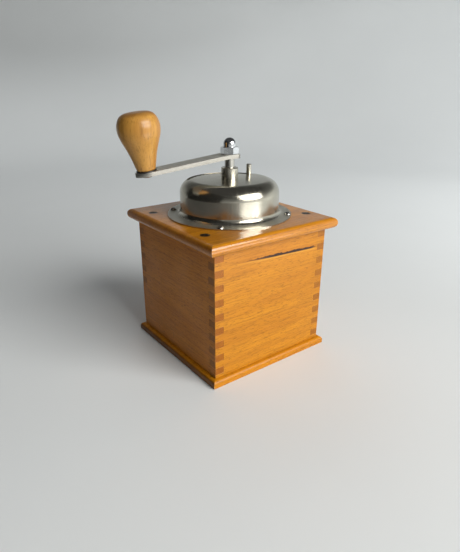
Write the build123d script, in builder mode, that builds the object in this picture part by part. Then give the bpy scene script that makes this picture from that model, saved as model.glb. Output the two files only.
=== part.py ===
from build123d import *
from math import cos, radians, sin, tan
import os

# Hand-cranked coffee mill: a finger-jointed wooden case with a pull-out drawer, a steel
# dome with a rotary filler shutter, and a conical burr set on a vertical crankshaft.
# Millimetres, +Z up. The origin is the centre of the base board's underside, and the
# drawer opens towards -Y.

os.makedirs("parts", exist_ok=True)

# Wooden case
case_x = 113.2
case_y = 115.7
wall = 8.0
case_top = 109.8
finger_count = 18  # finger joints up each back corner
finger = 5.83
bottom_finger = 3.0  # what is left of the lowest one
drawer_fingers = 7  # fingers below the front panel, which the drawer opening takes
base_thick = 6.5
base_overhang = 4.0
base_edge = 3.0
base_lower_edge = 0.8
lid_thick = 8.9
lid_overhang = 7.1
lid_edge = 4.0
lid_hole = 41.0
lid_top = case_top + lid_thick
inner_x = case_x / 2 - wall
inner_y = case_y / 2 - wall
opening_top = base_thick + bottom_finger + finger * (drawer_fingers - 1)

# Screws, as head radius, shank radius and length under the head's seat
case_screw_x = 51.8
case_screw_y = 39.2
lid_screw = (3.9, 1.75, 32.0)
base_screw = (3.9, 1.75, 24.0)
dome_screw = (2.75, 1.5, 11.0)
burr_screw = (2.35, 1.5, 9.0)
bridge_screw = (3.6, 2.0, 24.5)
knob_screw = (3.4, 1.6, 16.0)
flat_slot = (0.9, 1.0)  # width and depth of the slot in a countersunk head
round_slot = 0.7

# Dome and its filler opening
sheet = 1.0
dome_radius = 41.4
dome_top = lid_top + 30.0
crown_flat = 10.0
crown_drop = 1.1
shoulder = 11.0
flare = 4.5
flange_radius = 52.0
flange_screw_circle = 48.8
filler_inner = 12.5
filler_outer = 35.5
filler_start = -170.0
filler_end = -30.0

# Shutter under the dome and the bush that it turns on
running = 0.06
bush_radius = 7.0
bush_height = 8.5
neck_radius = 5.0
neck_depth = 4.7
bush_nut_half_flats = 7.0
bush_nut_height = 2.2
bush_nut_gap = 0.2
mouth_chamfer = 0.5  # on the upper rims of the bush and the pin
shutter_gap = 0.25
shutter_sheet = 0.8
shutter_lap = 5.0  # degrees that the closed shutter passes each end of the opening
shutter_outer = 37.3
pin_angle = -165.0
pin_circle = 27.0
pin_radius = 2.2
pin_top = dome_top + 7.9
pin_foot_gap = 0.8
pin_foot_lap = 1.2
pin_foot_thick = 1.0

# Hopper bowl hung from the lid
bowl_sheet = 1.2
bowl_rim = 46.0
bowl_mouth = 39.0
bowl_floor_radius = 24.5
bowl_floor = 93.2
bowl_throat = 16.8

# Burr set
burr_bottom = 74.0
burr_top = bowl_floor - bowl_sheet
burr_body = 21.5
burr_flange = 25.0
burr_flange_thick = 5.0
bore_bottom = 17.6
bore_slope = 0.222
burr_gap = 0.4
grind_height = 6.0
cone_top = 8.0
burr_screw_circle = 19.3
burr_ear_width = 14.0
mouth_height = 1.4
outer_grooves = 24
outer_groove_width = 1.3
fine_grooves = 20
fine_groove_width = 1.2
feed_grooves = 5
feed_groove_width = 5.0
burr_pin_radius = 1.5
burr_pin_length = 19.0
burr_pin_z = burr_top - 5.0
spring_wire = 0.6
spring_radius = 5.6
spring_pitch = 2.0

# Bridges, shaft and burr adjuster
shaft_radius = 4.0
shaft_bottom = 67.0
shaft_top = 176.5
flat_half = 3.3  # half the distance across the flats that drive the crank arm
bridge_z = 105.0
bridge_thick = 3.0
bridge_width = 12.0
boss_radius = 8.0
boss_below = 2.0
boss_above = 3.0
post_x = 28.0
post_radius = 4.5
lower_bridge_z = 65.5
lower_bridge_thick = 4.0
lower_bridge_width = 13.0
lower_boss_bottom = 58.0
lower_boss_top = 72.0
ball_radius = 3.45
ball_seat = 60.0
lock_nut_height = 4.6
adjuster_head_bottom = 47.5
adjuster_head_height = 4.0
adjuster_head_radius = 9.0
adjuster_flutes = 16
adjuster_flute_radius = 1.1

# Crank arm and knob
crank_angle = -9.2
arm_width = 15.6
arm_thick = 3.0
arm_top = 167.9
arm_tail = 7.2
arm_bend = 4.5
arm_slope = 7.35
bend_radius = 20.0
arm_corner = 4.0
crank_radius = 70.5
arm_end = 8.9  # how far the arm goes on past the knob's spindle
arm_end_round = 11.8  # length over which that end narrows
nut_half_flats = 6.5
nut_turn = 15.5  # where the tightened crank nut ended up, in degrees
nut_corner = 1.2  # how far the hexagon's corners may stand out past its flats
nut_hex = 5.7
nut_waist = nut_hex + 1.9
nut_dome = 5.2
spindle_radius = 3.0
spindle_reach = 31.0
spindle_head_lap = 1.5
spindle_head = 1.2
knob_washer_thick = 0.9
knob_clearance = 0.1
knob_washer_radius = 7.6
knob_foot_radius = 7.2
knob_foot_round = 0.6
knob_waist_radius = 11.6
knob_waist = 16.0
knob_radius = 15.7
knob_belly = 32.0
knob_shoulder_radius = 12.7
knob_shoulder = 39.2
knob_height = 41.7

# Drawer
drawer_gap = 0.35
drawer_side = 5.0
drawer_side_top = 42.4
drawer_back_y = 45.0
drawer_floor = 8.4
drawer_floor_thick = 3.0
drawer_groove = 2.5
drawer_knob_z = 26.2
drawer_knob_foot = 6.5
drawer_knob_neck = (5.0, 5.0)  # radius, and distance out from the drawer's face
drawer_knob_belly = (9.5, 12.0)
drawer_knob_length = 17.0

arm_cos = cos(radians(crank_angle))
arm_sin = sin(radians(crank_angle))
arm_plane = Plane(origin=(0, 0, 0), x_dir=(arm_cos, arm_sin, 0), z_dir=(arm_sin, -arm_cos, 0))
arm_drop = tan(radians(arm_slope))
spindle_lean = radians(arm_slope)
spindle_axis = Axis(
    arm_plane.from_local_coords((crank_radius, arm_top - (crank_radius - arm_bend) * arm_drop, 0)),
    (arm_cos * sin(spindle_lean), arm_sin * sin(spindle_lean), cos(spindle_lean)),
)
spindle_plane = Plane(
    origin=spindle_axis.position, x_dir=(-arm_sin, arm_cos, 0), z_dir=spindle_axis.direction
)
spindle_profile = Plane(
    origin=spindle_axis.position,
    x_dir=spindle_plane.x_dir,
    z_dir=spindle_plane.x_dir.cross(spindle_plane.z_dir),
)


def save(piece, name):
    """Label a finished piece and write it as its own STEP file."""
    piece.label = name
    export_step(piece, f"parts/{name}.step")


def slab(x, y, z, mode=Mode.ADD):
    """Box between the low and high ends of its three spans."""
    middle = [(low + high) / 2 for low, high in (x, y, z)]
    size = [high - low for low, high in (x, y, z)]
    with Locations(tuple(middle)):
        Box(*size, mode=mode)


def post(radius, bottom, top, mode=Mode.ADD):
    """Upright cylinder on the Z axis between two heights."""
    with Locations((0, 0, bottom)):
        Cylinder(radius, top - bottom, align=(Align.CENTER, Align.CENTER, Align.MIN), mode=mode)


def finger_span(index):
    """Low and high ends of one finger, counted up from the base board."""
    low = base_thick + bottom_finger + finger * (index - 1)
    return max(low, base_thick), case_top if index == finger_count - 1 else low + finger


# --- Screws -------------------------------------------------------------------------


def flat_screw(head, shank, length, slotted=True):
    """Countersunk wood screw with its head's face at z = 0 and its point towards -Z."""
    with BuildPart() as screw:
        with BuildSketch(Plane.XZ):
            with BuildLine():
                Polyline((0, 0), (head, 0), (shank, shank - head), (shank, 2 * shank - length), (0, -length), (0, 0))
            make_face()
        revolve(axis=Axis.Z)
        if slotted:
            width, depth = flat_slot
            slab((-head, head), (-width / 2, width / 2), (-depth, depth), mode=Mode.SUBTRACT)
    return screw.part


def round_screw(head, shank, length, slotted=True):
    """Round-headed screw seated at z = 0, with its point towards -Z."""
    head_height = 0.65 * head
    with BuildPart() as screw:
        with BuildSketch(Plane.XZ):
            with BuildLine():
                ThreePointArc((0, head_height), (0.72 * head, 0.68 * head_height), (head, 0))
                Polyline((head, 0), (shank, 0), (shank, shank - length), (0, -length), (0, head_height))
            make_face()
        revolve(axis=Axis.Z)
        if slotted:
            depth = (0.45 * head_height, 2 * head_height)
            slab((-head, head), (-round_slot / 2, round_slot / 2), depth, mode=Mode.SUBTRACT)
    return screw.part


def polar_places(radius, count, start, z):
    """Places at equal angles on a circle about the Z axis."""
    angles = [radians(start + 360 * index / count) for index in range(count)]
    return [Location((radius * cos(angle), radius * sin(angle), z)) for angle in angles]


def screw_set(screw, places):
    """One group of identical screws, each a separate solid."""
    with BuildPart() as group:
        with Locations(*places):
            add(screw)
    return group.part


case_corners = [(x, y) for x in (-case_screw_x, case_screw_x) for y in (-case_screw_y, case_screw_y)]
lid_screw_places = [Location((x, y, lid_top)) for x, y in case_corners]
base_screw_places = [Location((x, y, 0), (180, 0, 0)) for x, y in case_corners]
dome_screw_places = polar_places(flange_screw_circle, 4, 45, lid_top + sheet)
burr_screw_places = polar_places(burr_screw_circle, 3, 90, bowl_floor)
post_places = [Location((x, 0, lower_bridge_z), (180, 0, 0)) for x in (-post_x, post_x)]

save(screw_set(flat_screw(*lid_screw), lid_screw_places), "top_board_screws")
save(screw_set(flat_screw(*base_screw), base_screw_places), "base_screws")
save(screw_set(round_screw(*dome_screw), dome_screw_places), "dome_screws")
save(screw_set(round_screw(*burr_screw), burr_screw_places), "burr_screws")
save(screw_set(round_screw(*bridge_screw), post_places), "bridge_screws")


def screw_holes(screw, places):
    """Cut the room that a set of screws fills out of the piece being built."""
    with Locations(*places):
        add(screw, mode=Mode.SUBTRACT)


lid_screw_room = flat_screw(*lid_screw, slotted=False)
base_screw_room = flat_screw(*base_screw, slotted=False)
dome_screw_room = round_screw(*dome_screw, slotted=False)
burr_screw_room = round_screw(*burr_screw, slotted=False)
bridge_screw_room = round_screw(*bridge_screw, slotted=False)

# --- Wooden case --------------------------------------------------------------------

back_fingers = range(0, finger_count, 2)
front_fingers = range(drawer_fingers + 1, finger_count, 2)
whole_height = (base_thick, case_top)


def side_panel(side):
    """Side wall, on the right for side = 1, notched for its neighbours' fingers."""
    x = sorted((side * inner_x, side * case_x / 2))
    with BuildPart() as panel:
        slab(x, (-case_y / 2, case_y / 2), whole_height)
        for index in back_fingers:
            slab(x, (inner_y, case_y / 2), finger_span(index), mode=Mode.SUBTRACT)
        for index in front_fingers:
            slab(x, (-case_y / 2, -inner_y), finger_span(index), mode=Mode.SUBTRACT)
        screw_holes(lid_screw_room, lid_screw_places)
        screw_holes(base_screw_room, base_screw_places)
    return panel.part


def end_panel(y, z, fingers):
    """Front or back wall between the sides, with its own fingers out to their faces."""
    with BuildPart() as panel:
        slab((-inner_x, inner_x), y, z)
        for index in fingers:
            slab((-case_x / 2, case_x / 2), y, finger_span(index))
    return panel.part


save(side_panel(1), "right_panel")
save(side_panel(-1), "left_panel")
save(end_panel((inner_y, case_y / 2), whole_height, back_fingers), "back_panel")
save(end_panel((-case_y / 2, -inner_y), (opening_top, case_top), front_fingers), "front_panel")

with BuildPart() as base_board:
    base_x = case_x / 2 + base_overhang
    base_y = case_y / 2 + base_overhang
    slab((-base_x, base_x), (-base_y, base_y), (0, base_thick))
    fillet(base_board.faces().sort_by(Axis.Z)[-1].edges(), radius=base_edge)
    fillet(base_board.faces().sort_by(Axis.Z)[0].edges(), radius=base_lower_edge)
    screw_holes(base_screw_room, base_screw_places)
save(base_board.part, "base_board")

with BuildPart() as top_board:
    lid_x = case_x / 2 + lid_overhang
    lid_y = case_y / 2 + lid_overhang
    slab((-lid_x, lid_x), (-lid_y, lid_y), (case_top, lid_top))
    fillet(top_board.faces().sort_by(Axis.Z)[-1].edges(), radius=lid_edge)
    fillet(top_board.faces().sort_by(Axis.Z)[0].edges(), radius=lid_edge)
    with Locations((0, 0, lid_top)):
        CounterBoreHole(lid_hole, bowl_rim, bowl_sheet)
    screw_holes(lid_screw_room, lid_screw_places)
    screw_holes(dome_screw_room, dome_screw_places)
save(top_board.part, "top_board")

# --- Dome, shutter and shaft bush ---------------------------------------------------


def crown_points(inset):
    """Dome surface from the axis to the shoulder's corner, moved inwards by inset."""
    return [
        (0, dome_top - inset),
        (crown_flat, dome_top - inset),
        (dome_radius - inset, dome_top - crown_drop - inset),
    ]


def dome_path(inset):
    """Whole dome surface, from the axis over the shoulder and out along the flange."""
    foot = lid_top + sheet - inset
    return FilletPolyline(
        *crown_points(inset),
        (dome_radius - inset, foot),
        (flange_radius, foot),
        radius=(0, shoulder - inset, flare + inset),
    )


def shutter_path(inset):
    """Surface that follows the dome's inside down past its shoulder."""
    return FilletPolyline(
        *crown_points(inset), (dome_radius - inset, dome_top - shoulder - 6), radius=(0, shoulder - inset)
    )


def shell(path, outer_inset, inner_inset):
    """Profile between two insets of a path, ready to revolve."""
    with BuildSketch(Plane.XZ) as profile:
        with BuildLine():
            outer = path(outer_inset)
            inner = path(inner_inset)
            Line(outer @ 0, inner @ 0)
            Line(outer @ 1, inner @ 1)
        make_face()
    return profile.sketch.faces()


def sector(inner, outer, start, end, corner):
    """Annular sector between two angles, with rounded corners."""
    first = [(radius * cos(radians(start)), radius * sin(radians(start))) for radius in (inner, outer)]
    last = [(radius * cos(radians(end)), radius * sin(radians(end))) for radius in (inner, outer)]
    with BuildSketch() as plan:
        with BuildLine():
            CenterArc((0, 0), inner, start, end - start)
            CenterArc((0, 0), outer, start, end - start)
            Line(*first)
            Line(*last)
        make_face()
        fillet(plan.vertices(), radius=corner)
    return plan.sketch


with BuildPart() as dome:
    revolve(shell(dome_path, 0, sheet), axis=Axis.Z)
    with BuildSketch(Plane.XY.offset(dome_top - shoulder)):
        add(sector(filler_inner, filler_outer, filler_start, filler_end, 2.0))
        Circle(neck_radius)
    extrude(amount=2 * shoulder, mode=Mode.SUBTRACT)
    screw_holes(dome_screw_room, dome_screw_places)
save(dome.part, "dome")

shutter_under = sheet + shutter_gap + shutter_sheet

with BuildPart() as shutter:
    revolve(shell(shutter_path, sheet + shutter_gap, shutter_under), axis=Axis.Z)
    with BuildSketch(Plane.XY.offset(dome_top - 2 * shoulder)):
        add(sector(neck_radius, shutter_outer, filler_start - shutter_lap, filler_end + shutter_lap, 1.0))
        Circle(filler_inner - 1.5)
        Circle(neck_radius + running, mode=Mode.SUBTRACT)
    extrude(amount=3 * shoulder, mode=Mode.INTERSECT)
    with Locations(*polar_places(pin_circle, 1, pin_angle, dome_top)):
        Hole(pin_radius)
save(shutter.part, "shutter")

pin_foot_top = dome_top - shutter_under - pin_foot_gap
with BuildPart() as shutter_pin:
    with Locations(*polar_places(pin_circle, 1, pin_angle, pin_foot_top)):
        Cylinder(pin_radius, pin_top - pin_foot_top, align=(Align.CENTER, Align.CENTER, Align.MIN))
        Cylinder(pin_radius + pin_foot_lap, pin_foot_thick, align=(Align.CENTER, Align.CENTER, Align.MAX))
    chamfer(shutter_pin.faces().sort_by(Axis.Z)[-1].edges(), length=mouth_chamfer)
save(shutter_pin.part, "shutter_pin")

with BuildPart() as dome_bush:
    post(bush_radius, dome_top, dome_top + bush_height)
    chamfer(dome_bush.faces().sort_by(Axis.Z)[-1].edges(), length=mouth_chamfer)
    post(neck_radius, dome_top - neck_depth, dome_top)
    post(shaft_radius + running, dome_top - neck_depth, dome_top + bush_height, mode=Mode.SUBTRACT)
save(dome_bush.part, "dome_bush")

bush_nut_top = dome_top - shutter_under - bush_nut_gap
with BuildPart() as bush_nut:
    with BuildSketch(Plane.XY.offset(bush_nut_top)):
        RegularPolygon(bush_nut_half_flats, 6, major_radius=False)
        Circle(neck_radius, mode=Mode.SUBTRACT)
    extrude(amount=-bush_nut_height)
save(bush_nut.part, "bush_nut")

# --- Hopper bowl and upper bridge ---------------------------------------------------

bowl_slope = (bowl_mouth - bowl_floor_radius) / (lid_top - bowl_floor)
bowl_inside = [
    (bowl_rim, lid_top),
    (bowl_mouth, lid_top),
    (bowl_floor_radius, bowl_floor),
    (bowl_throat, bowl_floor),
]

with BuildPart() as hopper_bowl:
    with BuildSketch(Plane.XZ):
        with BuildLine():
            bowl_line = FilletPolyline(*bowl_inside, radius=(2.0, 3.0))
            offset(bowl_line, amount=bowl_sheet, side=Side.LEFT)
        make_face()
    revolve(axis=Axis.Z)
    screw_holes(burr_screw_room, burr_screw_places)
save(hopper_bowl.part, "hopper_bowl")


def bowl_radius(z):
    """Inside radius of the bowl's cone at a height."""
    return bowl_floor_radius + (z - bowl_floor) * bowl_slope


bridge_top = bridge_z + bridge_thick
boss_bottom = bridge_z - boss_below
boss_top = bridge_top + boss_above
with BuildPart() as upper_bridge:
    with BuildSketch(Plane.XY.offset(bridge_z)):
        Rectangle(2 * bowl_radius(bridge_top), bridge_width)
    extrude(amount=bridge_thick)
    with BuildSketch(Plane.XZ):
        with BuildLine():
            Polyline(
                (0, bridge_z),
                (bowl_radius(bridge_z), bridge_z),
                (bowl_radius(bridge_top), bridge_top),
                (0, bridge_top),
                close=True,
            )
        make_face()
    revolve(axis=Axis.Z, mode=Mode.INTERSECT)
    post(boss_radius, boss_bottom, boss_top)
    post(shaft_radius + running, boss_bottom, boss_top, mode=Mode.SUBTRACT)
save(upper_bridge.part, "upper_bridge")

# --- Burr set -----------------------------------------------------------------------


def bore_radius(z):
    """Radius of the outer burr's grinding bore at a height."""
    return bore_bottom - (z - burr_bottom) * bore_slope


def tooth_cutter(low, high, width):
    """Long square bar along a cone's side, one edge inwards, that cuts one V groove."""
    start = Vector(low[0], 0, low[1])
    along = Vector(high[0] - low[0], 0, high[1] - low[1])
    with BuildPart() as cutter:
        with BuildSketch(Plane(origin=start, x_dir=(0, 1, 0), z_dir=along)):
            Rectangle(width, width, rotation=45)
        extrude(amount=along.length)
    return cutter.part


with BuildPart() as outer_burr:
    post(burr_body, burr_bottom, burr_top)
    with BuildSketch(Plane.XY.offset(burr_top)):
        Circle(burr_flange)
        SlotCenterToCenter(2 * post_x, burr_ear_width)
    extrude(amount=-burr_flange_thick)
    with BuildSketch(Plane.XZ):
        with BuildLine():
            Polyline(
                (0, burr_bottom),
                (bore_bottom, burr_bottom),
                (bore_radius(burr_top - mouth_height), burr_top - mouth_height),
                (bowl_throat, burr_top),
                (0, burr_top),
                close=True,
            )
        make_face()
    revolve(axis=Axis.Z, mode=Mode.SUBTRACT)
    groove_top = burr_top - mouth_height / 2
    groove = tooth_cutter(
        (bore_radius(burr_bottom - 1), burr_bottom - 1),
        (bore_radius(groove_top) + burr_gap, groove_top),
        outer_groove_width,
    )
    with PolarLocations(0, outer_grooves):
        add(groove, mode=Mode.SUBTRACT)
    screw_holes(burr_screw_room, burr_screw_places)
    screw_holes(bridge_screw_room, post_places)
save(outer_burr.part, "outer_burr")

burr_pin_place = Location((0, 0, burr_pin_z), (90, 0, 0))
grind_top = burr_bottom + grind_height
with BuildPart() as inner_burr:
    with BuildSketch(Plane.XZ):
        with BuildLine():
            Polyline(
                (shaft_radius, burr_bottom),
                (bore_radius(burr_bottom) - burr_gap, burr_bottom),
                (bore_radius(grind_top) - burr_gap, grind_top),
                (cone_top, burr_top),
                (shaft_radius, burr_top),
                close=True,
            )
        make_face()
    revolve(axis=Axis.Z)
    fine_groove = tooth_cutter(
        (bore_radius(burr_bottom - 1) - burr_gap, burr_bottom - 1),
        (bore_radius(grind_top) - burr_gap, grind_top),
        fine_groove_width,
    )
    with PolarLocations(0, fine_grooves):
        add(fine_groove, mode=Mode.SUBTRACT)
    feed_groove = tooth_cutter(
        (bore_radius(grind_top), grind_top - 2), (cone_top + 1, burr_top + 1), feed_groove_width
    )
    with PolarLocations(0, feed_grooves, start_angle=90 / feed_grooves):
        add(feed_groove, mode=Mode.SUBTRACT)
    with Locations(burr_pin_place):
        Cylinder(burr_pin_radius, 4 * bore_bottom, mode=Mode.SUBTRACT)
save(inner_burr.part, "inner_burr")

with BuildPart() as burr_pin:
    with Locations(burr_pin_place):
        Cylinder(burr_pin_radius, burr_pin_length)
save(burr_pin.part, "burr_pin")

spring_bottom = burr_top + spring_wire
spring_top = boss_bottom - spring_wire
with BuildPart() as burr_spring:
    with BuildLine():
        coil = Helix(spring_pitch, spring_top - spring_bottom, spring_radius, center=(0, 0, spring_bottom))
    with BuildSketch(Plane(origin=coil @ 0, z_dir=coil % 0)):
        Circle(spring_wire)
    sweep(path=coil, is_frenet=True)
save(burr_spring.part, "burr_spring")

# --- Shaft, lower bridge and burr adjuster ------------------------------------------

arm_under = arm_top - arm_thick


def drive_section():
    """Round section with two flats, which turns the crank arm with the shaft."""
    with BuildSketch(Plane(origin=(0, 0, arm_under), x_dir=(arm_cos, arm_sin, 0))) as section:
        Circle(shaft_radius)
        Rectangle(4 * shaft_radius, 2 * flat_half, mode=Mode.INTERSECT)
    return section.sketch


with BuildPart() as shaft:
    post(shaft_radius, shaft_bottom, arm_under)
    extrude(drive_section(), amount=shaft_top - arm_under)
    with Locations(burr_pin_place):
        Cylinder(burr_pin_radius, 4 * shaft_radius, mode=Mode.SUBTRACT)
save(shaft.part, "shaft")

with BuildPart() as lower_bridge:
    with BuildSketch(Plane.XY.offset(lower_bridge_z)):
        SlotCenterToCenter(2 * post_x, lower_bridge_width)
    extrude(amount=lower_bridge_thick)
    post(boss_radius, lower_boss_bottom, lower_boss_top)
    post(shaft_radius + running, lower_boss_bottom, lower_boss_top, mode=Mode.SUBTRACT)
    screw_holes(bridge_screw_room, post_places)
save(lower_bridge.part, "lower_bridge")

with BuildPart() as bridge_spacers:
    with BuildSketch(Plane.XY.offset(lower_bridge_z + lower_bridge_thick)):
        with Locations((-post_x, 0), (post_x, 0)):
            Circle(post_radius)
            Circle(bridge_screw[1], mode=Mode.SUBTRACT)
    extrude(amount=burr_top - burr_flange_thick - lower_bridge_z - lower_bridge_thick)
save(bridge_spacers.part, "bridge_spacers")

with BuildPart() as thrust_ball:
    with Locations((0, 0, (ball_seat + shaft_bottom) / 2)):
        Sphere(ball_radius)
save(thrust_ball.part, "thrust_ball")

with BuildPart() as adjusting_screw:
    with BuildSketch(Plane.XY.offset(adjuster_head_bottom)):
        Circle(adjuster_head_radius)
        with PolarLocations(adjuster_head_radius + adjuster_flute_radius / 3, adjuster_flutes):
            Circle(adjuster_flute_radius, mode=Mode.SUBTRACT)
    extrude(amount=adjuster_head_height)
    post(shaft_radius, adjuster_head_bottom, ball_seat)
save(adjusting_screw.part, "adjusting_screw")

with BuildPart() as lock_nut:
    with BuildSketch(Plane.XY.offset(lower_boss_bottom - lock_nut_height)):
        RegularPolygon(nut_half_flats, 6, major_radius=False)
        Circle(shaft_radius + running, mode=Mode.SUBTRACT)
    extrude(amount=lock_nut_height)
save(lock_nut.part, "lock_nut")

# --- Crank arm, nut and knob --------------------------------------------------------

arm_reach = crank_radius + arm_end * cos(spindle_lean)


def arm_edge(depth):
    """One long edge of the bent bar, seen from the side, at a depth below its top face."""
    bend = arm_bend - depth * tan(spindle_lean / 2)
    tip_x = arm_reach - depth * sin(spindle_lean)
    tip_z = arm_top - (arm_reach - arm_bend) * arm_drop - depth * cos(spindle_lean)
    return FilletPolyline(
        (-arm_tail, arm_top - depth), (bend, arm_top - depth), (tip_x, tip_z), radius=bend_radius - depth
    )


with BuildPart() as crank_arm:
    with BuildSketch(arm_plane):
        with BuildLine():
            upper = arm_edge(0)
            lower = arm_edge(arm_thick)
            Line(upper @ 0, lower @ 0)
            Line(upper @ 1, lower @ 1)
        make_face()
    extrude(amount=arm_width / 2, both=True)
    fillet(crank_arm.edges().filter_by(Axis.Z), radius=arm_corner)
    with BuildSketch(spindle_plane):
        with Locations((0, arm_end_round - arm_end)):
            Ellipse(arm_width / 2, arm_end_round)
            Rectangle(arm_width, 2 * crank_radius, align=(Align.CENTER, Align.MIN))
    extrude(amount=crank_radius, both=True, mode=Mode.INTERSECT)
    extrude(drive_section(), amount=arm_thick, mode=Mode.SUBTRACT)
    with BuildSketch(spindle_plane):
        Circle(spindle_radius)
    extrude(amount=-2 * arm_thick, mode=Mode.SUBTRACT)
save(crank_arm.part, "crank_arm")

with BuildPart() as crank_nut:
    with BuildSketch(Plane.XY.offset(arm_top)):
        RegularPolygon(nut_half_flats, 6, major_radius=False, rotation=nut_turn)
    extrude(amount=nut_waist + nut_dome)
    with BuildSketch(Plane.XZ):
        with BuildLine():
            Polyline(
                (nut_dome, arm_top + nut_waist),
                (nut_dome, arm_top + nut_hex),
                (nut_half_flats, arm_top + nut_hex),
                (nut_half_flats + nut_corner, arm_top + nut_hex - nut_corner / 2),
                (nut_half_flats + nut_corner, arm_top + nut_corner / 2),
                (nut_half_flats, arm_top),
                (0, arm_top),
                (0, arm_top + nut_waist + nut_dome),
            )
            CenterArc((0, arm_top + nut_waist), nut_dome, 0, 90)
        make_face()
    revolve(axis=Axis.Z, mode=Mode.INTERSECT)
    post(shaft_radius, arm_top, shaft_top, mode=Mode.SUBTRACT)
save(crank_nut.part, "crank_nut")

knob_base = knob_washer_thick + knob_clearance
with BuildPart() as knob_washer:
    with BuildSketch(spindle_plane):
        Circle(knob_washer_radius)
        Circle(spindle_radius, mode=Mode.SUBTRACT)
    extrude(amount=knob_washer_thick)
save(knob_washer.part, "knob_washer")

with BuildPart() as knob_spindle:
    with BuildSketch(spindle_plane):
        Circle(spindle_radius)
    extrude(amount=spindle_reach)
    with BuildSketch(spindle_plane.offset(-arm_thick)):
        Circle(spindle_radius)
    extrude(amount=arm_thick)
    with BuildSketch(spindle_plane.offset(-arm_thick)):
        Circle(spindle_radius + spindle_head_lap)
    extrude(amount=-spindle_head)
    chamfer(knob_spindle.faces().sort_by(spindle_axis)[0].edges(), length=spindle_head / 2)
save(knob_spindle.part, "knob_spindle")

with BuildPart() as knob:
    with BuildSketch(spindle_profile):
        with BuildLine():
            Spline(
                (knob_foot_radius, knob_base + knob_foot_round),
                (knob_waist_radius, knob_base + knob_waist),
                (knob_radius, knob_base + knob_belly),
                (knob_shoulder_radius, knob_base + knob_shoulder),
                (0, knob_base + knob_height),
                tangents=((0.25, 1), (-1, 0)),
            )
            Polyline(
                (0, knob_base + knob_height),
                (0, knob_base),
                (knob_foot_radius - knob_foot_round, knob_base),
                (knob_foot_radius, knob_base + knob_foot_round),
            )
        make_face()
    revolve(axis=spindle_axis)
    with BuildSketch(spindle_plane):
        Circle(spindle_radius + running)
    extrude(amount=spindle_reach + 1.0, mode=Mode.SUBTRACT)
save(knob.part, "knob")

# --- Drawer -------------------------------------------------------------------------

drawer_x = inner_x - drawer_gap
drawer_bottom = base_thick + drawer_gap
drawer_floor_top = drawer_floor + drawer_floor_thick
floor_x = drawer_x - drawer_side + drawer_groove
floor_y = (-inner_y - drawer_groove, drawer_back_y - drawer_side + drawer_groove)
knob_screw_place = Location((0, -inner_y, drawer_knob_z), (-90, 0, 0))


def cut_floor_groove():
    """Cut the room that the drawer's floor fills out of the board being built."""
    slab((-floor_x, floor_x), floor_y, (drawer_floor, drawer_floor_top), mode=Mode.SUBTRACT)


def drawer_side_board(side):
    """Drawer side, on the right for side = 1."""
    with BuildPart() as board:
        x = sorted((side * (drawer_x - drawer_side), side * drawer_x))
        slab(x, (-inner_y, drawer_back_y), (drawer_bottom, drawer_side_top))
        cut_floor_groove()
    return board.part


with BuildPart() as drawer_front:
    slab((-drawer_x, drawer_x), (-case_y / 2, -inner_y), (drawer_bottom, opening_top - drawer_gap))
    cut_floor_groove()
    screw_holes(round_screw(*knob_screw, slotted=False), [knob_screw_place])
save(drawer_front.part, "drawer_front")

save(drawer_side_board(1), "drawer_right_side")
save(drawer_side_board(-1), "drawer_left_side")

with BuildPart() as drawer_back:
    back_x = drawer_x - drawer_side
    slab((-back_x, back_x), (drawer_back_y - drawer_side, drawer_back_y), (drawer_bottom, drawer_side_top))
    cut_floor_groove()
save(drawer_back.part, "drawer_back")

with BuildPart() as drawer_bottom_board:
    slab((-floor_x, floor_x), floor_y, (drawer_floor, drawer_floor_top))
save(drawer_bottom_board.part, "drawer_bottom")

with BuildPart() as drawer_knob:
    face_y = -case_y / 2
    profile = [(drawer_knob_foot, 0.0), drawer_knob_neck, drawer_knob_belly, (0, drawer_knob_length)]
    with BuildSketch(Plane.XY.offset(drawer_knob_z)):
        with BuildLine():
            Spline(*[(radius, face_y - out) for radius, out in profile], tangents=((-0.2, -1), (-1, 0)))
            Polyline((0, face_y - drawer_knob_length), (0, face_y), (drawer_knob_foot, face_y))
        make_face()
    revolve(axis=Axis((0, 0, drawer_knob_z), (0, 1, 0)))
    screw_holes(round_screw(*knob_screw, slotted=False), [knob_screw_place])
save(drawer_knob.part, "drawer_knob")

save(screw_set(round_screw(*knob_screw), [knob_screw_place]), "drawer_knob_screw")
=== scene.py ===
"""The looks of a hand crank coffee grinder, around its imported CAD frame. Lengths are metres."""

import math

import bmesh
import bpy
from mathutils import Matrix, Vector


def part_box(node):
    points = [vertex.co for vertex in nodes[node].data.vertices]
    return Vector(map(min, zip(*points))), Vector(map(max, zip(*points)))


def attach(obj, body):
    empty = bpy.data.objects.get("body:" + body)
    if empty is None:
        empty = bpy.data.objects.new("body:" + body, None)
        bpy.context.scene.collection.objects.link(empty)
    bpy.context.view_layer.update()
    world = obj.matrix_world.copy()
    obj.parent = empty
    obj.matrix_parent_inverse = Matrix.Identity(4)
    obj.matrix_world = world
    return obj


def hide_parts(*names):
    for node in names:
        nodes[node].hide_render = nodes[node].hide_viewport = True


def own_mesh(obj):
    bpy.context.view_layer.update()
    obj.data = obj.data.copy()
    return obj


MM = 0.001

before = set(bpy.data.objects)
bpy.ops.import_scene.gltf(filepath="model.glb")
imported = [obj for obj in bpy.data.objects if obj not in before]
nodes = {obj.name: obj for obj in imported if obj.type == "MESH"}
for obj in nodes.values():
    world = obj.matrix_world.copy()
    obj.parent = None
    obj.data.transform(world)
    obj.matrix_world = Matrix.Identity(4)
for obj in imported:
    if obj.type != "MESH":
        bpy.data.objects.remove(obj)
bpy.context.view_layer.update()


# ---------------------------------------------------------------- node trees

# A Mix node's sockets have the same names for values and colours, so they are picked by number.
VALUE_A, VALUE_B, VALUE_RESULT = 2, 3, 0
COLOUR_A, COLOUR_B, COLOUR_RESULT = 6, 7, 2

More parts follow.
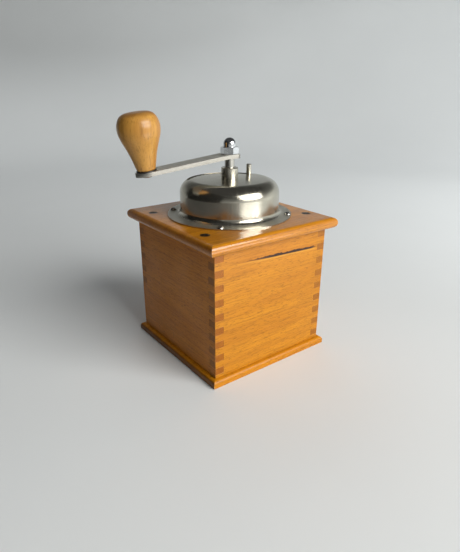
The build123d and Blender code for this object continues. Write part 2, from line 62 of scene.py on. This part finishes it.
# How well a rounded normal agrees with the true one, just off an edge and right on it.
EDGE_AGREEMENT = (0.98, 0.80)
EDGE_SAMPLES = 6


def rgba(value):
    """A plain colour with its alpha added. A socket is handed back as it is."""
    return (*value, 1.0) if isinstance(value, tuple) else value


def toned(colour, share):
    return tuple(share * channel for channel in colour)


class Shader:
    """A Principled material with short helpers for the procedural nodes that the finishes use."""

    def __init__(self, name, roughness, metallic=0.0):
        self.material = bpy.data.materials.new(name)
        self.material.use_nodes = True
        self.tree = self.material.node_tree
        self.surface = self.tree.nodes["Principled BSDF"]
        coordinates = self.add("ShaderNodeTexCoord")
        self.place = coordinates.outputs["Object"]
        self.outward = coordinates.outputs["Normal"]
        self.set(Roughness=roughness, Metallic=metallic)

    def add(self, kind, **sockets):
        """A new node. Keywords name its sockets, and each value is a socket to link or a number."""
        node = self.tree.nodes.new(kind)
        for name, value in sockets.items():
            self.plug(node.inputs[name.replace("_", " ")], value)
        return node

    def plug(self, socket, value):
        if isinstance(value, bpy.types.NodeSocket):
            self.tree.links.new(value, socket)
        else:
            socket.default_value = value

    def set(self, **sockets):
        for name, value in sockets.items():
            self.plug(self.surface.inputs[name.replace("_", " ")], value)

    def sized(self, size, shift=(0, 0, 0)):
        """Object coordinates divided by size, so that one noise cell is about that large."""
        scale = [1 / length for length in size]
        mapping = self.add("ShaderNodeMapping", Vector=self.place, Scale=scale, Location=shift)
        return mapping.outputs["Vector"]

    def noise(self, vector, detail=2.0, roughness=0.5, distortion=0.0):
        node = self.add("ShaderNodeTexNoise", Vector=vector, Scale=1.0, Detail=detail)
        self.plug(node.inputs["Roughness"], roughness)
        self.plug(node.inputs["Distortion"], distortion)
        return node.outputs["Fac"]

    def ramp(self, value, low, high, start=0.0, end=1.0):
        """Smoothly from start, where value is low, to end, where it is high."""
        limits = {"From_Min": low, "From_Max": high, "To_Min": start, "To_Max": end}
        node = self.add("ShaderNodeMapRange", Value=value, **limits)
        node.interpolation_type = "SMOOTHSTEP"
        return node.outputs["Result"]

    def maths(self, operation, *values):
        node = self.add("ShaderNodeMath")
        node.operation = operation
        for socket, value in zip(node.inputs, values):
            self.plug(socket, value)
        return node.outputs["Value"]

    def dot(self, first, second):
        node = self.add("ShaderNodeVectorMath")
        node.operation = "DOT_PRODUCT"
        self.plug(node.inputs[0], first)
        self.plug(node.inputs[1], second)
        return node.outputs["Value"]

    def mix(self, factor, first, second, blend="MIX"):
        """Colours first and second mixed by factor."""
        node = self.add("ShaderNodeMix")
        node.data_type = "RGBA"
        node.blend_type = blend
        self.plug(node.inputs["Factor"], factor)
        self.plug(node.inputs[COLOUR_A], rgba(first))
        self.plug(node.inputs[COLOUR_B], rgba(second))
        return node.outputs[COLOUR_RESULT]

    def mix_values(self, factor, first, second):
        node = self.add("ShaderNodeMix", Factor=factor)
        self.plug(node.inputs[VALUE_A], first)
        self.plug(node.inputs[VALUE_B], second)
        return node.outputs[VALUE_RESULT]

    def vector(self, x, y, z):
        return self.add("ShaderNodeCombineXYZ", X=x, Y=y, Z=z).outputs["Vector"]

    def axes(self):
        split = self.add("ShaderNodeSeparateXYZ", Vector=self.place)
        return [split.outputs[axis] for axis in "XYZ"]

    def facing(self, direction):
        """How squarely the surface faces along plus or minus direction, 0 to 1."""
        return self.maths("ABSOLUTE", self.dot(self.outward, direction))

    def edges(self, radius):
        """1 on edges, within radius, and 0 elsewhere."""
        rounded = self.add("ShaderNodeBevel", Radius=radius)
        rounded.samples = EDGE_SAMPLES
        true_normal = self.add("ShaderNodeNewGeometry").outputs["Normal"]
        return self.ramp(self.dot(rounded.outputs["Normal"], true_normal), *EDGE_AGREEMENT)

    def bump(self, height, depth, strength):
        node = self.add("ShaderNodeBump", Height=height, Strength=strength, Distance=depth)
        return node.outputs["Normal"]


# ---------------------------------------------------------------- wood

AXES = {"x": Vector((1, 0, 0)), "y": Vector((0, 1, 0)), "z": Vector((0, 0, 1))}

# The length along the grain and the width across it of each feature of the wood.
BANDS = (200 * MM, 9 * MM)
STREAKS = (45 * MM, 1.6 * MM)
FIBRES = (14 * MM, 0.45 * MM)
FLECKS = (4.2 * MM, 0.42 * MM)
PATCH_SIZE = 38 * MM
RUB_SIZE = 7 * MM
SEED_STEP = (3.7, 1.9, 5.3)

END_GRAIN_TINT = (1.0, 0.92, 0.80)
END_GRAIN_FACING = (0.6, 0.9)
FLECK_RELIEF = 0.8
RELIEF_DEPTH = 0.05 * MM
RELIEF_STRENGTH = 0.5
# How far the varnish strays from its own roughness, below and above.
GLOSSIER, DULLER = 0.06, 0.10
VARNISH_SPECULAR = 0.3

# Pale and deep tones of each finish.
CASE_TONES = ((0.55, 0.218, 0.008), (0.45, 0.160, 0.005))
# Deeper, redder tones for the right panel, which faces away from the window: painted shade.
SHADED_RIGHT_PANEL_TONES = ((0.54, 0.19, 0.006), (0.44, 0.14, 0.004))
BOARD_TONES = ((0.62, 0.240, 0.004), (0.47, 0.165, 0.004))
TURNED_TONES = ((0.53, 0.275, 0.058), (0.40, 0.17, 0.024))
PLAIN_TONES = ((0.80, 0.58, 0.34), (0.66, 0.44, 0.22))
PLYWOOD_TONES = ((0.78, 0.62, 0.42), (0.66, 0.50, 0.30))
RUBBED_AND_HIGHLIT_EDGE = (0.86, 0.62, 0.34)


class Wood(Shader):
    """Beech: broad bands, fine streaks and the short dark flecks of its rays, with darker end grain."""

    def __init__(self, name, axis, tones, seed, roughness=0.42, end_tone=0.66, coarse=1.0):
        super().__init__(name, roughness)
        self.axis = axis
        self.coarse = coarse
        self.shift = tuple(step * seed for step in SEED_STEP)
        pale, deep = tones
        bands = self.noise(self.grain(BANDS), detail=3, distortion=0.6)
        streaks = self.noise(self.grain(STREAKS), detail=4, roughness=0.6, distortion=0.3)
        fibres = self.noise(self.grain(FIBRES), detail=2, roughness=0.6)
        flecks = self.noise(self.grain(FLECKS), detail=1)
        patches = self.noise(self.sized([PATCH_SIZE] * 3, self.shift), detail=2)
        colour = self.mix(self.ramp(bands, 0.32, 0.68, 0, 0.8), pale, deep)
        # Each feature, the noise at which it starts and is full, its strength, its share of deep.
        for feature, start, full, strength, share in (
            (streaks, 0.50, 0.72, 0.65, 0.62),
            (fibres, 0.45, 0.75, 0.50 / coarse, 0.60),
            (flecks, 0.60, 0.70, 0.70 / coarse, 0.34),
            (patches, 0.40, 0.72, 0.18, 0.75),
        ):
            colour = self.mix(self.ramp(feature, start, full, 0, strength), colour, toned(deep, share))
        end_grain = self.mix(1.0, colour, toned(END_GRAIN_TINT, end_tone), "MULTIPLY")
        self.colour = self.mix(self.ramp(self.facing(AXES[axis]), *END_GRAIN_FACING), colour, end_grain)
        self.relief = self.maths("ADD", fibres, self.maths("MULTIPLY", flecks, FLECK_RELIEF))
        uneven = self.maths("ADD", fibres, patches)
        self.gloss = self.ramp(uneven, 0.7, 1.3, roughness - GLOSSIER, roughness + DULLER)

    def grain(self, feature):
        """Coordinates for noise that is stretched along the grain to the feature's size."""
        length, width = (self.coarse * size for size in feature)
        return self.sized([length if name == self.axis else width for name in "xyz"], self.shift)

    def worn_and_highlit(self, radius, amount):
        """Edges rubbed pale, in patches: wear, and a painted highlight along the edges."""
        rub = self.noise(self.sized([RUB_SIZE] * 3), detail=3)
        mask = self.maths("MULTIPLY", self.edges(radius), self.ramp(rub, 0.35, 0.62, 0, amount))
        # Pale edges: wear, and a painted highlight along them.
        self.colour = self.mix(mask, self.colour, RUBBED_AND_HIGHLIT_EDGE)

    def varnished(self, coat, coat_roughness):
        relief = self.bump(self.relief, RELIEF_DEPTH, RELIEF_STRENGTH)
        self.set(Base_Color=self.colour, Roughness=self.gloss, Normal=relief)
        self.set(Coat_Weight=coat, Coat_Roughness=coat_roughness, Specular_IOR_Level=VARNISH_SPECULAR)
        return self.material


# The split in the back panel: where it runs, and the tones painted at and around it: the dark split,
# painted shade above it and a painted highlight on its lower lip.
SPLIT_BELOW_TOP = 12.6 * MM
SPLIT_SLOPE = 0.04
SPLIT_WANDER = 2.2 * MM
SPLIT_WAVE = 9 * MM
SPLIT_START, SPLIT_OPEN = -52 * MM, -40 * MM
SPLIT_NARROWING, SPLIT_END = 0 * MM, 48 * MM
SPLIT_THIN, SPLIT_THICK = 0.5 * MM, 1.5 * MM
# Painted shade in a band above the split, under the top board's overhang.
OVERHANG_SHADE_TOP, OVERHANG_SHADE_BOTTOM, OVERHANG_SHADE_STRENGTH = 7 * MM, -2 * MM, 0.6
# A painted highlight on the split's lower lip.
LIP_TOP, LIP_BOTTOM, LIP_STRENGTH = -0.4 * MM, -3 * MM, 0.4
LIP_FULL = (-1.2 * MM, -1.6 * MM)
SPLIT_DARK = (0.03, 0.01, 0.003)
SPLIT_OVERHANG_SHADE = (0.40, 0.125, 0.004)
SPLIT_LIP_HIGHLIGHT = (0.72, 0.36, 0.05)


def paint_split(wood):
    """A dark split just under the lid, with painted shade above it and a painted highlight on the lip
    below it.
    """
    _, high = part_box("back_panel")
    x, _, z = wood.axes()
    wave = wood.noise(wood.sized([SPLIT_WAVE, 1, SPLIT_WAVE]), detail=4, roughness=0.65)
    wander = wood.maths("MULTIPLY", wood.maths("SUBTRACT", wave, 0.5), SPLIT_WANDER)
    line = wood.maths("ADD", wood.maths("MULTIPLY", x, SPLIT_SLOPE), high.z - SPLIT_BELOW_TOP)
    above = wood.maths("SUBTRACT", z, wood.maths("ADD", line, wander))
    starting = wood.ramp(x, SPLIT_START, SPLIT_OPEN)
    ending = wood.ramp(x, SPLIT_END, SPLIT_NARROWING)
    reach = wood.maths("MINIMUM", starting, ending)
    width = wood.maths("MULTIPLY", wood.ramp(wave, 0.25, 0.75, SPLIT_THIN, SPLIT_THICK), reach)
    past = wood.maths("SUBTRACT", wood.maths("ABSOLUTE", above), width)
    crack = wood.ramp(past, 0.15 * MM, -0.25 * MM)
    # Painted shade in a band above the split, under the top board's overhang.
    overhang_shade_fade = wood.ramp(above, OVERHANG_SHADE_TOP, 0, 0, OVERHANG_SHADE_STRENGTH)
    stain = wood.maths("MULTIPLY", overhang_shade_fade, wood.ramp(above, OVERHANG_SHADE_BOTTOM, 0))
    # A painted highlight on the split's lower lip.
    lip_highlight_fade = wood.ramp(above, LIP_BOTTOM, LIP_FULL[1], 0, LIP_STRENGTH)
    lip = wood.maths("MULTIPLY", wood.ramp(above, LIP_TOP, LIP_FULL[0]), lip_highlight_fade)
    for share, tone in ((stain, SPLIT_OVERHANG_SHADE), (lip, SPLIT_LIP_HIGHLIGHT), (crack, SPLIT_DARK)):
        wood.colour = wood.mix(wood.maths("MULTIPLY", share, reach), wood.colour, tone)


def case_wood(name, axis, tones, seed):
    wood = Wood("beech_" + name, axis, tones, seed)
    if name == "back_panel":
        paint_split(wood)
    wood.worn_and_highlit(radius=0.5 * MM, amount=0.5)
    return wood.varnished(coat=0.06, coat_roughness=0.20)


def board_wood(name, seed, coat, end_tone):
    wood = Wood("beech_" + name, "x", BOARD_TONES, seed, roughness=0.34, end_tone=end_tone)
    wood.worn_and_highlit(radius=1.2 * MM, amount=0.6)
    return wood.varnished(coat, coat_roughness=0.10)


def turned_wood(name, axis, seed):
    wood = Wood(name, axis, TURNED_TONES, seed, roughness=0.38, end_tone=0.8, coarse=2.0)
    return wood.varnished(coat=0.30, coat_roughness=0.14)


def plain_wood(name, axis, tones, seed):
    return Wood(name, axis, tones, seed, roughness=0.62).varnished(coat=0.0, coat_roughness=0.3)


# ---------------------------------------------------------------- metal

CLOUD_SIZE = 9 * MM
STAIN_TONE = 0.55
FINE_BRUSH = (0.6 * MM, 0.6 * MM, 0.6 * MM)
BRUSH_DEPTH, BRUSH_STRENGTH = 0.02 * MM, 0.35

STEEL = (0.50, 0.485, 0.44)
# Pale steel for the arm, paler as painted light on its top face.
LIT_ARM_STEEL = (0.88, 0.86, 0.78)
# Darker steel for the arm's shear-cut sides, partly painted shade.
SHEARED_AND_SHADED_STEEL = (0.16, 0.15, 0.13)

DOME_NICKEL = (0.50, 0.47, 0.39)
# Paler nickel on the flange: painted light, for the brighter reflection the flange shows.
FLANGE_LIT_NICKEL = (0.74, 0.71, 0.62)
# How fast the noise runs around the dome, up its wall and out along its crown.
DOME_LINES_AROUND = 26.0
DOME_LINES_A_METRE_UP = 30.0
DOME_LINES_SLICE = 3.0
DOME_RINGS_A_METRE = 900.0
DOME_DEPTH, DOME_STRENGTH = 0.05 * MM, 0.6
DOME_GLOSSIEST, DOME_DULLEST = 0.14, 0.27
FLANGE_TOP, FLANGE_FULL = 4 * MM, 1.5 * MM
FLANGE_DULLER = 0.22
FLANGE_PAINTED_LIGHT = 0.8


class Metal(Shader):
    """Worn metal: cloudy stains, and brushing whose strokes have the size of brush."""

    def __init__(self, name, colour, roughness, brush=FINE_BRUSH, stain=0.25, scratch=0.12):
        super().__init__(name, roughness, metallic=1.0)
        clouds = self.noise(self.sized([CLOUD_SIZE] * 3), detail=4, roughness=0.6)
        self.brushing = self.noise(self.sized(brush), detail=3, roughness=0.7)
        stained = toned(colour, STAIN_TONE)
        cloudy = self.mix(self.ramp(clouds, 0.38, 0.75, 0, stain), colour, stained)
        self.tone = self.mix(self.ramp(self.brushing, 0.35, 0.75, 0, scratch), cloudy, stained)
        cloudy_gloss = self.maths("ADD", self.ramp(clouds, 0.3, 0.7, 0, 0.10), roughness - 0.05)
        self.gloss = self.maths("ADD", cloudy_gloss, self.ramp(self.brushing, 0.3, 0.7, 0, 0.06))

    def finished(self):
        relief = self.bump(self.brushing, BRUSH_DEPTH, BRUSH_STRENGTH)
        self.set(Base_Color=self.tone, Roughness=self.gloss, Normal=relief)
        return self.material


def dome_metal():
    """Satin nickel, drawn down the wall in upright streaks and spun in rings on the crown, with painted
    light paling the flange.
    """
    shader = Metal("satin_nickel_dome", DOME_NICKEL, 0.20, stain=0.20)
    x, y, z = shader.axes()
    turn = shader.maths("ARCTAN2", y, x)
    squares = shader.maths("ADD", shader.maths("MULTIPLY", x, x), shader.maths("MULTIPLY", y, y))
    radius = shader.maths("SQRT", squares)
    around = shader.maths("MULTIPLY", turn, DOME_LINES_AROUND)
    up = shader.maths("MULTIPLY", z, DOME_LINES_A_METRE_UP)
    lines = shader.noise(shader.vector(around, DOME_LINES_SLICE, up), detail=5, roughness=0.75)
    out = shader.maths("MULTIPLY", radius, DOME_RINGS_A_METRE)
    rings = shader.noise(shader.vector(out, turn, 0.0), detail=3, roughness=0.6)
    flat = shader.ramp(shader.facing(AXES["z"]), 0.75, 0.97)
    relief = shader.bump(shader.mix_values(flat, lines, rings), DOME_DEPTH, DOME_STRENGTH)
    low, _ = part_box("dome")
    low_down = shader.ramp(z, low.z + FLANGE_TOP, low.z + FLANGE_FULL)
    flange = shader.maths("MULTIPLY", flat, low_down)
    streaky = shader.ramp(lines, 0.3, 0.7, DOME_GLOSSIEST, DOME_DULLEST)
    gloss = shader.maths("ADD", streaky, shader.maths("MULTIPLY", flange, FLANGE_DULLER))
    # The flange is painted paler: painted light on the same nickel.
    tone = shader.mix(shader.maths("MULTIPLY", flange, FLANGE_PAINTED_LIGHT), shader.tone, FLANGE_LIT_NICKEL)
    shader.set(Base_Color=tone, Roughness=gloss, Normal=relief)
    return shader.material


def arm_metal():
    """Steel bar, brushed along its length, with painted light paling its top and painted shade darkening
    its shear-cut sides.
    """
    shader = Metal("steel", LIT_ARM_STEEL, 0.42, (14 * MM, 0.35 * MM, 0.35 * MM))
    # Painted shade on the arm's sides, partly the darker shear-cut edges.
    sheared_and_shaded = shader.ramp(shader.facing(AXES["z"]), 0.8, 0.4, 0, 0.75)
    shader.tone = shader.mix(sheared_and_shaded, shader.tone, SHEARED_AND_SHADED_STEEL)
    return shader.finished()


# ---------------------------------------------------------------- finishes on the CAD nodes

CASE_GRAIN = {
    "back_panel": "x",
    "right_panel": "y",
    "left_panel": "y",
    "front_panel": "x",
    "drawer_front": "x",
}


def paint(material, *names):
    for name in names:
        mesh = nodes[name].data
        mesh.materials.clear()
        mesh.materials.append(material)


def finish_wood():
    for seed, (name, axis) in enumerate(CASE_GRAIN.items(), start=1):
        # The right panel takes the tones with painted shade.
        tones = SHADED_RIGHT_PANEL_TONES if name == "right_panel" else CASE_TONES
        paint(case_wood(name, axis, tones, seed), name)
    paint(board_wood("top_board", 6, coat=0.7, end_tone=0.8), "top_board")
    # The base board's end grain is darker, and deepened further as painted shade on its shaded end.
    paint(board_wood("base_board", 7, coat=0.0, end_tone=0.4), "base_board")
    sides = plain_wood("pale_beech_sides", "y", PLAIN_TONES, 8)
    paint(sides, "drawer_right_side", "drawer_left_side")
    paint(plain_wood("pale_beech_back", "x", PLAIN_TONES, 9), "drawer_back")
    paint(plain_wood("plywood", "x", PLYWOOD_TONES, 10), "drawer_bottom")
    paint(turned_wood("turned_beech_knob", "z", 11), "knob")
    paint(turned_wood("turned_beech_pull", "y", 12), "drawer_knob")


def finish_metal():
    paint(dome_metal(), "dome", "shutter")
    paint(arm_metal(), "crank_arm", "upper_bridge", "lower_bridge")
    nickel = Metal("satin_nickel", (0.58, 0.55, 0.47), 0.22, (0.5 * MM, 0.5 * MM, 6 * MM))
    paint(nickel.finished(), "dome_bush", "shutter_pin", "bush_nut")
    turned = Metal("steel_turned", STEEL, 0.24, (0.35 * MM, 0.35 * MM, 8 * MM)).finished()
    paint(turned, "shaft", "knob_spindle", "burr_pin", "bridge_spacers")
    paint(turned, "adjusting_screw", "lock_nut", "burr_spring")
    chrome = Metal("chrome", (0.66, 0.67, 0.68), 0.09, stain=0.12, scratch=0.05)
    paint(chrome.finished(), "crank_nut")
    ball = Metal("bearing_steel", (0.75, 0.76, 0.78), 0.08, stain=0.1)
    paint(ball.finished(), "thrust_ball")
    # A near-black washer under the knob: dark steel, and painted shade where the knob shades it.
    paint(Metal("dark_steel", (0.09, 0.085, 0.08), 0.36).finished(), "knob_washer")
    bright = Metal("bright_screw", (0.42, 0.41, 0.38), 0.24, stain=0.5)
    paint(bright.finished(), "dome_screws", "burr_screws", "bridge_screws", "drawer_knob_screw")
    bronzed = Metal("bronzed_screw", (0.16, 0.125, 0.09), 0.34, stain=0.6)
    paint(bronzed.finished(), "top_board_screws", "base_screws")
    tinned = Metal("tinned_sheet", (0.60, 0.61, 0.62), 0.30, stain=0.4)
    paint(tinned.finished(), "hopper_bowl")
    iron = Metal("burr_iron", (0.20, 0.20, 0.21), 0.5, (0.8 * MM, 0.8 * MM, 0.8 * MM), stain=0.5)
    paint(iron.finished(), "outer_burr", "inner_burr")


# ---------------------------------------------------------------- pieces and edges made here

SPRING_WIRE_RADIUS = 0.6 * MM
SPRING_RADIUS = 5.6 * MM
SPRING_PITCH = 2.0 * MM
WIRE_SIDES = 10
STEPS_A_TURN = 36

WELD_DISTANCE = 0.001 * MM
SOFT_EDGE_SEGMENTS = 2
SOFT_EDGE_ANGLE = math.radians(50)
ARM_EDGE = 0.5 * MM
PANEL_EDGE = 0.25 * MM


def link_mesh(name, builder, material):
    mesh = bpy.data.meshes.new(name)
    builder.normal_update()
    builder.to_mesh(mesh)
    builder.free()
    mesh.materials.append(material)
    obj = bpy.data.objects.new(name, mesh)
    bpy.context.scene.collection.objects.link(obj)
    return obj


def make_spring():
    """The coil spring over the inner burr, built at one fixed length; it does not shorten as the burr is
    raised.
    """
    low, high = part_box("burr_spring")
    bottom, top = low.z + SPRING_WIRE_RADIUS, high.z - SPRING_WIRE_RADIUS
    steps = round((top - bottom) / SPRING_PITCH * STEPS_A_TURN)
    builder = bmesh.new()
    rings = []
    for step in range(steps + 1):
        angle = 2 * math.pi * step / STEPS_A_TURN
        outward = Vector((math.cos(angle), math.sin(angle), 0))
        centre = outward * SPRING_RADIUS + Vector((0, 0, bottom + (top - bottom) * step / steps))
        ring = []
        for side in range(WIRE_SIDES):
            around = 2 * math.pi * side / WIRE_SIDES
            offset = outward * math.cos(around) + Vector((0, 0, math.sin(around)))
            ring.append(builder.verts.new(centre + offset * SPRING_WIRE_RADIUS))
        rings.append(ring)
    for ring, following in zip(rings, rings[1:]):
        for side in range(WIRE_SIDES):
            after = (side + 1) % WIRE_SIDES
            builder.faces.new((ring[side], following[side], following[after], ring[after]))
    builder.faces.new(rings[0])
    builder.faces.new(list(reversed(rings[-1])))
    bmesh.ops.recalc_face_normals(builder, faces=builder.faces)
    for face in builder.faces:
        face.smooth = len(face.verts) == 4
    spring = link_mesh("coil_spring", builder, nodes["burr_spring"].data.materials[0])
    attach(spring, "case")
    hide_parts("burr_spring")
    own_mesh(spring)


def soften(names, width):
    """Sharp edges of these nodes rounded over, as by sanding or tumbling."""
    for name in names:
        weld = nodes[name].modifiers.new("weld", "WELD")
        weld.merge_threshold = WELD_DISTANCE
        bevel = nodes[name].modifiers.new("soft_edges", "BEVEL")
        bevel.width = width
        bevel.segments = SOFT_EDGE_SEGMENTS
        bevel.limit_method = "ANGLE"
        bevel.angle_limit = SOFT_EDGE_ANGLE
        bevel.harden_normals = True


# ---------------------------------------------------------------- stage, light and camera

# The camera that was fitted to the photograph.
CAMERA_PLACE = Vector((0.2334, 0.3098, 0.2219))
CAMERA_AZIMUTH = math.radians(52.9)
CAMERA_ELEVATION = math.radians(22.58)
CAMERA_ROLL = math.radians(0.245)
CAMERA_LENS = 30.49
SENSOR_WIDTH = 36

FLOOR_RADIUS = 1.0
SWEEP_RADIUS = 1.0
SWEEP_STEPS = 16
FLOOR_STEPS = 96
WALL_TOP = 2.2
SAME_CORNER = 0.5 * MM

PALE_PAPER = (0.80, 0.825, 0.825)
PAPER = (0.74, 0.765, 0.765)
PAPER_MOTTLE = 0.35
# Heights between which painted shade darkens the backdrop towards the top of the room.
LIT_WALL = 0.45
DIM_WALL = 1.1
HIGH_WALL_SHADE = (0.20, 0.205, 0.205)
# Painted shade darkens the wall on the camera's left.
PHOTO_RIGHT = Vector((-0.8, 0.6, 0))
LEFT_WALL_START, LEFT_WALL_FULL = 0.3, -1.3
LEFT_WALL_HEIGHT = 0.35
LEFT_WALL_STRENGTH = 0.45
LEFT_WALL_SHADE = (0.30, 0.31, 0.31)
# Painted shade darkens the paper under the window, so that it isn't blown out there.
WINDOW_SIDE_START, WINDOW_SIDE_FULL = 0.45, 1.5
WINDOW_SIDE_STRENGTH = 0.8
WINDOW_SIDE_SHADE = (0.16, 0.165, 0.165)

UP = Vector((0, 0, 1))
MILL_MIDDLE = Vector((0, 0, 0.09))
OVER_FLOOR = Vector((0, 0, 0.01))
DAYLIGHT = (1.0, 0.99, 0.97)
SKYLIGHT = (0.96, 0.98, 1.0)
BACKDROP_LIGHT = (0.95, 0.98, 1.0)
ROOM_GREY = (0.07, 0.07, 0.07 * 1.02)
DARK_FLOOR_GREY = 0.20
DARK_SIDE_GREY = 0.01


def direction(azimuth, elevation):
    level = math.cos(elevation)
    return Vector((math.cos(azimuth) * level, math.sin(azimuth) * level, math.sin(elevation)))


def polar(azimuth, elevation, distance):
    """A place given by angles in degrees and its distance from the frame's origin."""
    return direction(math.radians(azimuth), math.radians(elevation)) * distance


def make_camera():
    data = bpy.data.cameras.new("camera")
    data.lens = CAMERA_LENS
    data.sensor_width = SENSOR_WIDTH
    data.dof.use_dof = False
    camera = bpy.data.objects.new("camera", data)
    bpy.context.scene.collection.objects.link(camera)
    back = direction(CAMERA_AZIMUTH, CAMERA_ELEVATION)
    right = (-back).cross(UP).normalized()
    up = right.cross(-back)
    turned_right = right * math.cos(CAMERA_ROLL) + up * math.sin(CAMERA_ROLL)
    turned_up = up * math.cos(CAMERA_ROLL) - right * math.sin(CAMERA_ROLL)
    axes = Matrix((turned_right, turned_up, back)).transposed().to_4x4()
    camera.matrix_world = Matrix.Translation(CAMERA_PLACE) @ axes
    bpy.context.scene.camera = camera


def floor_paper():
    """Mottled pale paper, with painted shade high up, on the camera's left and under the window."""
    shader = Shader("floor_paper", 0.75)
    _, y, z = shader.axes()
    mottle = shader.noise(shader.sized([PAPER_MOTTLE] * 3), detail=3)
    paper = shader.mix(mottle, PAPER, PALE_PAPER)
    # Painted shade on the backdrop: on the camera's left, under the window and high up.
    rightward = shader.dot(shader.place, PHOTO_RIGHT)
    leftness = shader.ramp(rightward, LEFT_WALL_START, LEFT_WALL_FULL)
    raised = shader.ramp(z, 0.0, LEFT_WALL_HEIGHT, 0, LEFT_WALL_STRENGTH)
    paper = shader.mix(shader.maths("MULTIPLY", leftness, raised), paper, LEFT_WALL_SHADE)
    near_window = shader.ramp(y, WINDOW_SIDE_START, WINDOW_SIDE_FULL, 0, WINDOW_SIDE_STRENGTH)
    paper = shader.mix(near_window, paper, WINDOW_SIDE_SHADE)
    paper = shader.mix(shader.ramp(z, LIT_WALL, DIM_WALL), paper, HIGH_WALL_SHADE)
    shader.set(Base_Color=paper, Specular_IOR_Level=0.2)
    return shader.material


def make_floor():
    """A floor that sweeps up into a round backdrop on every side."""
    profile = [(0.0, 0.0)]
    for step in range(SWEEP_STEPS + 1):
        angle = 0.5 * math.pi * step / SWEEP_STEPS
        out = FLOOR_RADIUS + SWEEP_RADIUS * math.sin(angle)
        profile.append((out, SWEEP_RADIUS * (1 - math.cos(angle))))
    profile.append((FLOOR_RADIUS + SWEEP_RADIUS, WALL_TOP))
    builder = bmesh.new()
    corners = [builder.verts.new((out, 0, height)) for out, height in profile]
    lines = [builder.edges.new(pair) for pair in zip(corners, corners[1:])]
    bmesh.ops.spin(
        builder, geom=corners + lines, axis=UP, cent=(0, 0, 0), steps=FLOOR_STEPS, angle=2 * math.pi
    )
    bmesh.ops.remove_doubles(builder, verts=builder.verts, dist=SAME_CORNER)
    bmesh.ops.recalc_face_normals(builder, faces=builder.faces)
    for face in builder.faces:
        face.smooth = True
    link_mesh("floor", builder, floor_paper())


def make_card(name, place, faces, width, height, grey, shades):
    """A dark card that only reflections see, and bounced light too where it shades."""
    builder = bmesh.new()
    bmesh.ops.create_grid(builder, x_segments=1, y_segments=1, size=0.5)
    shader = Shader(name, 1.0)
    shader.set(Base_Color=rgba((grey, grey, grey)))
    card = link_mesh(name, builder, shader.material)
    card.location = place
    card.rotation_euler = faces.to_track_quat("Z", "Y").to_euler()
    card.scale = (width, height, 1)
    card.visible_camera = False
    card.visible_diffuse = shades
    card.visible_shadow = False
    return card


def make_light(name, place, aim, width, height, power, colour):
    data = bpy.data.lights.new(name, "AREA")
    data.shape = "RECTANGLE"
    data.size = width
    data.size_y = height
    data.energy = power
    data.color = colour
    light = bpy.data.objects.new(name, data)
    bpy.context.scene.collection.objects.link(light)
    turn = (place - aim).to_track_quat("Z", "Y").to_matrix().to_4x4()
    light.matrix_world = Matrix.Translation(place) @ turn
    light.visible_camera = False
    return light


def make_world():
    """Dim light from everywhere, with plain colours and no film curve."""
    bpy.context.scene.view_settings.view_transform = "Standard"
    world = bpy.data.worlds.new("room")
    world.use_nodes = True
    world.node_tree.nodes["Background"].inputs["Color"].default_value = rgba(ROOM_GREY)
    bpy.context.scene.world = world


def make_lights():
    """A large window that lights the back panel, its glare on the floor, and two weaker lights."""
    window = polar(106, 27, 1.75)
    make_light("window", window, MILL_MIDDLE, width=1.4, height=1.25, power=51.0, colour=DAYLIGHT)
    backdrop = polar(145, 38, 1.2)
    far_wall = Vector((-1.9, -0.3, 0.4))
    make_light(
        "backdrop_light", backdrop, far_wall, width=0.8, height=0.8, power=6.5, colour=BACKDROP_LIGHT
    )
    sunlit = polar(102, 0, 0.37) + OVER_FLOOR
    glare = make_light(
        "sunlit_floor", sunlit, sunlit + UP, width=0.34, height=0.22, power=0.8, colour=DAYLIGHT
    )
    glare.visible_diffuse = False
    drawer_side = polar(255, 40, 1.6)
    fill = make_light("fill", drawer_side, MILL_MIDDLE, width=1.2, height=0.9, power=3.2, colour=SKYLIGHT)
    fill.visible_glossy = False


def make_cards():
    """The dark side of the room, and the darker floor that the metal reflects."""
    side = polar(-12, 22, 0.6)
    make_card("dark_side", side, side, width=1.3, height=0.9, grey=DARK_SIDE_GREY, shades=True)
    for name, azimuth, width in (("dark_floor_near", 27, 1.05), ("dark_floor_side", -38, 0.45)):
        place = polar(azimuth, 0, 0.80) + OVER_FLOOR
        card = make_card(name, place, UP, width, height=1.05, grey=DARK_FLOOR_GREY, shades=False)
        card.rotation_euler.z = math.radians(azimuth - 90)


finish_wood()
finish_metal()
make_spring()
soften(["crank_arm"], ARM_EDGE)
soften(CASE_GRAIN, PANEL_EDGE)
make_camera()
make_floor()
make_world()
make_lights()
make_cards()
